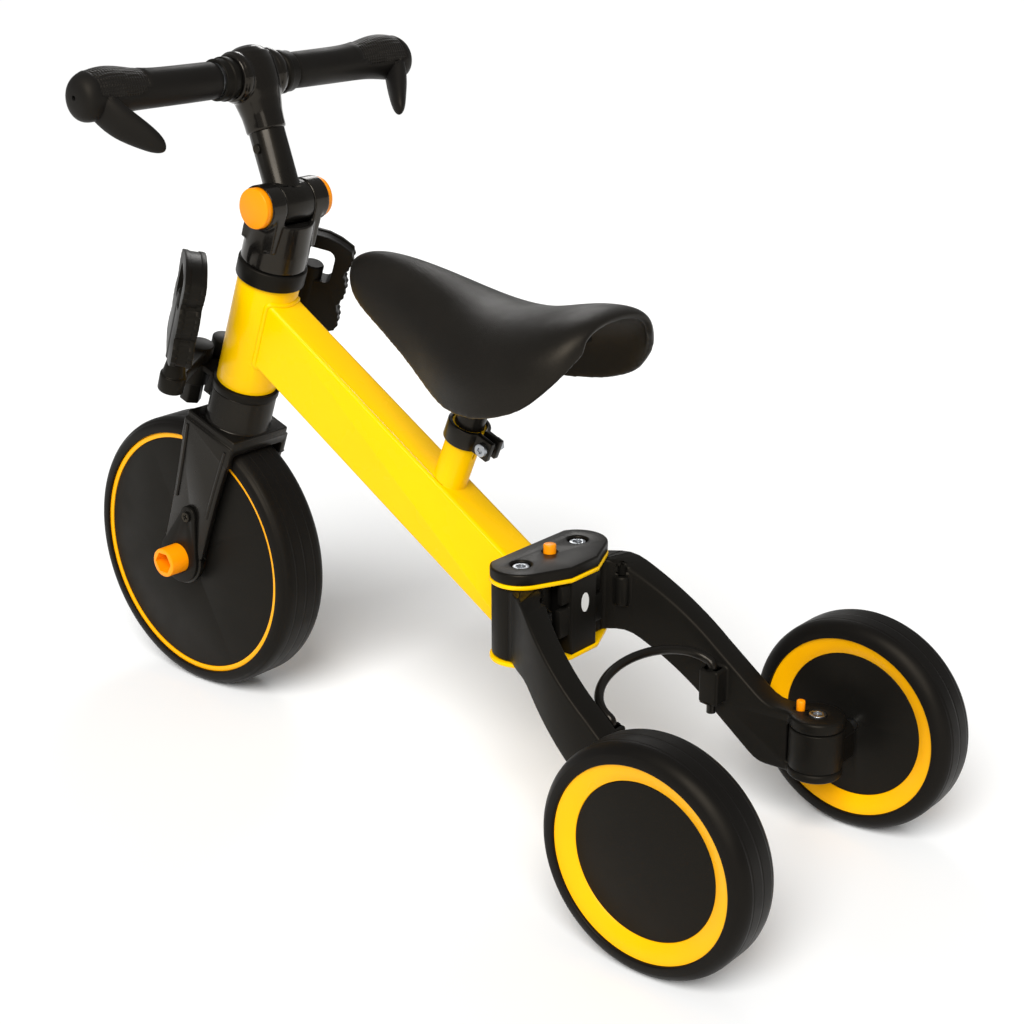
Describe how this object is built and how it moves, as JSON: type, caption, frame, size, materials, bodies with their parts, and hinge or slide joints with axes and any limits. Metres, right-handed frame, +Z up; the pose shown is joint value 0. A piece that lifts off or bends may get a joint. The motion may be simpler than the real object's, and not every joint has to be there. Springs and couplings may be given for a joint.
{
  "type": "children's tricycle",
  "caption": "Folding child's tricycle: sloping tube frame, driven front wheel, padded saddle, tilting handlebar, stowed cranks and rear arms that fold in.",
  "frame": {"origin": "on the ground, under the middle of the overall length and width", "axes": "+X forward, +Y to the rider's left, +Z up"},
  "size_m": [0.6456, 0.2838, 0.4584],
  "materials": {
    "yellow_paint": "gloss",
    "black_paint": "satin",
    "black_plastic": "matt, fine grain",
    "glossy_black_plastic": "gloss",
    "orange_plastic": "gloss",
    "yellow_plastic": "gloss",
    "tyre_foam": "matt",
    "grip_rubber": "matt",
    "saddle_leather": "satin, fine grain",
    "bush_plastic": "matt",
    "steel": "brushed"
  },
  "bodies": {
    "frame": {"main_frame": "yellow_paint", "head_bushes": "bush_plastic", "headset_cup": "black_plastic", "seat_clamp": "black_paint", "clamp_bolt": "steel", "clamp_nut": "steel", "housing_block": "black_plastic", "housing_cap": "glossy_black_plastic", "pivot_bolt_left": "steel", "pivot_bolt_right": "steel", "lock_spring": "steel", "brace_wire": "black_paint"},
    "lock_button": {"lock_button": "orange_plastic"},
    "seat": {"seat_post": "black_paint", "saddle_base": "black_plastic", "saddle_cover": "saddle_leather", "saddle_screws": "steel"},
    "steering": {"fork": "black_paint", "steerer_tube": "steel", "pedal_holder": "black_plastic", "hub_cover_left": "black_plastic", "hub_cover_right": "black_plastic", "cover_screws": "steel", "stem_base": "glossy_black_plastic", "hinge_pin": "steel"},
    "hinge_button_left": {"hinge_button_left": "orange_plastic"},
    "hinge_button_right": {"hinge_button_right": "orange_plastic"},
    "handlebar": {"riser": "black_paint", "riser_screws": "steel", "stem_head": "glossy_black_plastic", "handlebar_tube": "steel", "grip_left": "grip_rubber", "grip_right": "grip_rubber", "grip_collar_left": "black_plastic", "grip_collar_right": "black_plastic"},
    "front_wheel": {"front_tyre": "tyre_foam", "front_wheel_core": "black_plastic", "front_bands": "orange_plastic", "drive_socket_left": "orange_plastic", "drive_socket_right": "orange_plastic"},
    "crank_left": {"crank_left": "black_plastic"},
    "crank_right": {"crank_right": "black_plastic"},
    "pedal_left": {"pedal_left": "black_plastic"},
    "pedal_right": {"pedal_right": "black_plastic"},
    "arm_left": {"arm_left": "black_plastic", "bracket_bolt_left": "steel"},
    "arm_right": {"arm_right": "black_plastic", "bracket_bolt_right": "steel"},
    "latch_button_left": {"latch_button_left": "orange_plastic"},
    "latch_button_right": {"latch_button_right": "orange_plastic"},
    "bracket_left": {"bracket_left": "black_plastic", "axle_left": "steel"},
    "bracket_right": {"bracket_right": "black_plastic", "axle_right": "steel"},
    "wheel_left": {"tyre_left": "tyre_foam", "rim_left": "yellow_plastic", "hub_left": "black_plastic"},
    "wheel_right": {"tyre_right": "tyre_foam", "rim_right": "yellow_plastic", "hub_right": "black_plastic"}
  },
  "joints": [
    {"name": "steering", "type": "hinge", "parent": "frame", "child": "steering", "pos_m": [0.17411, 0, 0.23391], "axis": [-0.342, 0, 0.9397], "range_deg": [-45, 45]},
    {"name": "front_wheel_spin", "type": "hinge", "parent": "steering", "child": "front_wheel", "pos_m": [0.22285, 0, 0.1], "axis": [0, 1, 0], "continuous": true},
    {"name": "handlebar_tilt", "type": "hinge", "parent": "steering", "child": "handlebar", "pos_m": [0.12756, 0, 0.3618], "axis": [0, 1, 0], "range_deg": [-60, 20]},
    {"name": "hinge_button_left_press", "type": "slide", "parent": "steering", "child": "hinge_button_left", "axis": [0, -1, 0], "range_m": [0, 0.003], "stiffness_N_per_m": 800, "springref_m": -0.002},
    {"name": "hinge_button_right_press", "type": "slide", "parent": "steering", "child": "hinge_button_right", "axis": [0, 1, 0], "range_m": [0, 0.003], "stiffness_N_per_m": 800, "springref_m": -0.002},
    {"name": "saddle_height", "type": "slide", "parent": "frame", "child": "seat", "axis": [-0.3859, 0, 0.9225], "range_m": [0, 0.03]},
    {"name": "lock_button_press", "type": "slide", "parent": "frame", "child": "lock_button", "axis": [0, 0, -1], "range_m": [0, 0.003], "stiffness_N_per_m": 600, "springref_m": -0.003, "deforming": ["lock_spring"]},
    {"name": "arm_fold_left", "type": "hinge", "parent": "frame", "child": "arm_left", "pos_m": [-0.09315, 0.0277, 0.139], "axis": [0, 0, 1], "range_deg": [0, 16], "deforming": ["brace_wire"]},
    {"name": "arm_fold_right", "type": "hinge", "parent": "frame", "child": "arm_right", "pos_m": [-0.09315, -0.0277, 0.139], "axis": [0, 0, 1], "range_deg": [-16, 0]},
    {"name": "wheel_turn_left", "type": "hinge", "parent": "arm_left", "child": "bracket_left", "pos_m": [-0.24615, 0.07, 0.064], "axis": [0, 0, 1], "range_deg": [-16, 0]},
    {"name": "wheel_turn_right", "type": "hinge", "parent": "arm_right", "child": "bracket_right", "pos_m": [-0.24615, -0.07, 0.064], "axis": [0, 0, 1], "range_deg": [0, 16]},
    {"name": "latch_button_left_press", "type": "slide", "parent": "arm_left", "child": "latch_button_left", "axis": [0, 0, -1], "range_m": [0, 0.003], "stiffness_N_per_m": 600, "springref_m": -0.003},
    {"name": "latch_button_right_press", "type": "slide", "parent": "arm_right", "child": "latch_button_right", "axis": [0, 0, -1], "range_m": [0, 0.003], "stiffness_N_per_m": 600, "springref_m": -0.003},
    {"name": "wheel_spin_left", "type": "hinge", "parent": "bracket_left", "child": "wheel_left", "pos_m": [-0.25415, 0.1087, 0.0687], "axis": [0, 1, 0], "continuous": true},
    {"name": "wheel_spin_right", "type": "hinge", "parent": "bracket_right", "child": "wheel_right", "pos_m": [-0.25415, -0.1087, 0.0687], "axis": [0, 1, 0], "continuous": true},
    {"name": "crank_pull_left", "type": "slide", "parent": "steering", "child": "crank_left", "axis": [-0.342, 0, 0.9397], "range_m": [0, 0.035]},
    {"name": "crank_pull_right", "type": "slide", "parent": "steering", "child": "crank_right", "axis": [-0.342, 0, 0.9397], "range_m": [0, 0.035]},
    {"name": "pedal_spin_left", "type": "hinge", "parent": "crank_left", "child": "pedal_left", "pos_m": [0.1668, 0.05603, 0.2951], "axis": [-0.342, 0, 0.9397], "continuous": true},
    {"name": "pedal_spin_right", "type": "hinge", "parent": "crank_right", "child": "pedal_right", "pos_m": [0.1668, -0.05603, 0.2951], "axis": [-0.342, 0, 0.9397], "continuous": true}
  ],
  "couplings": [
    {"joint": "arm_fold_right", "follows": "arm_fold_left", "ratio": -1},
    {"joint": "wheel_turn_left", "follows": "arm_fold_left", "ratio": -1},
    {"joint": "wheel_turn_right", "follows": "arm_fold_left", "ratio": 1}
  ]
}
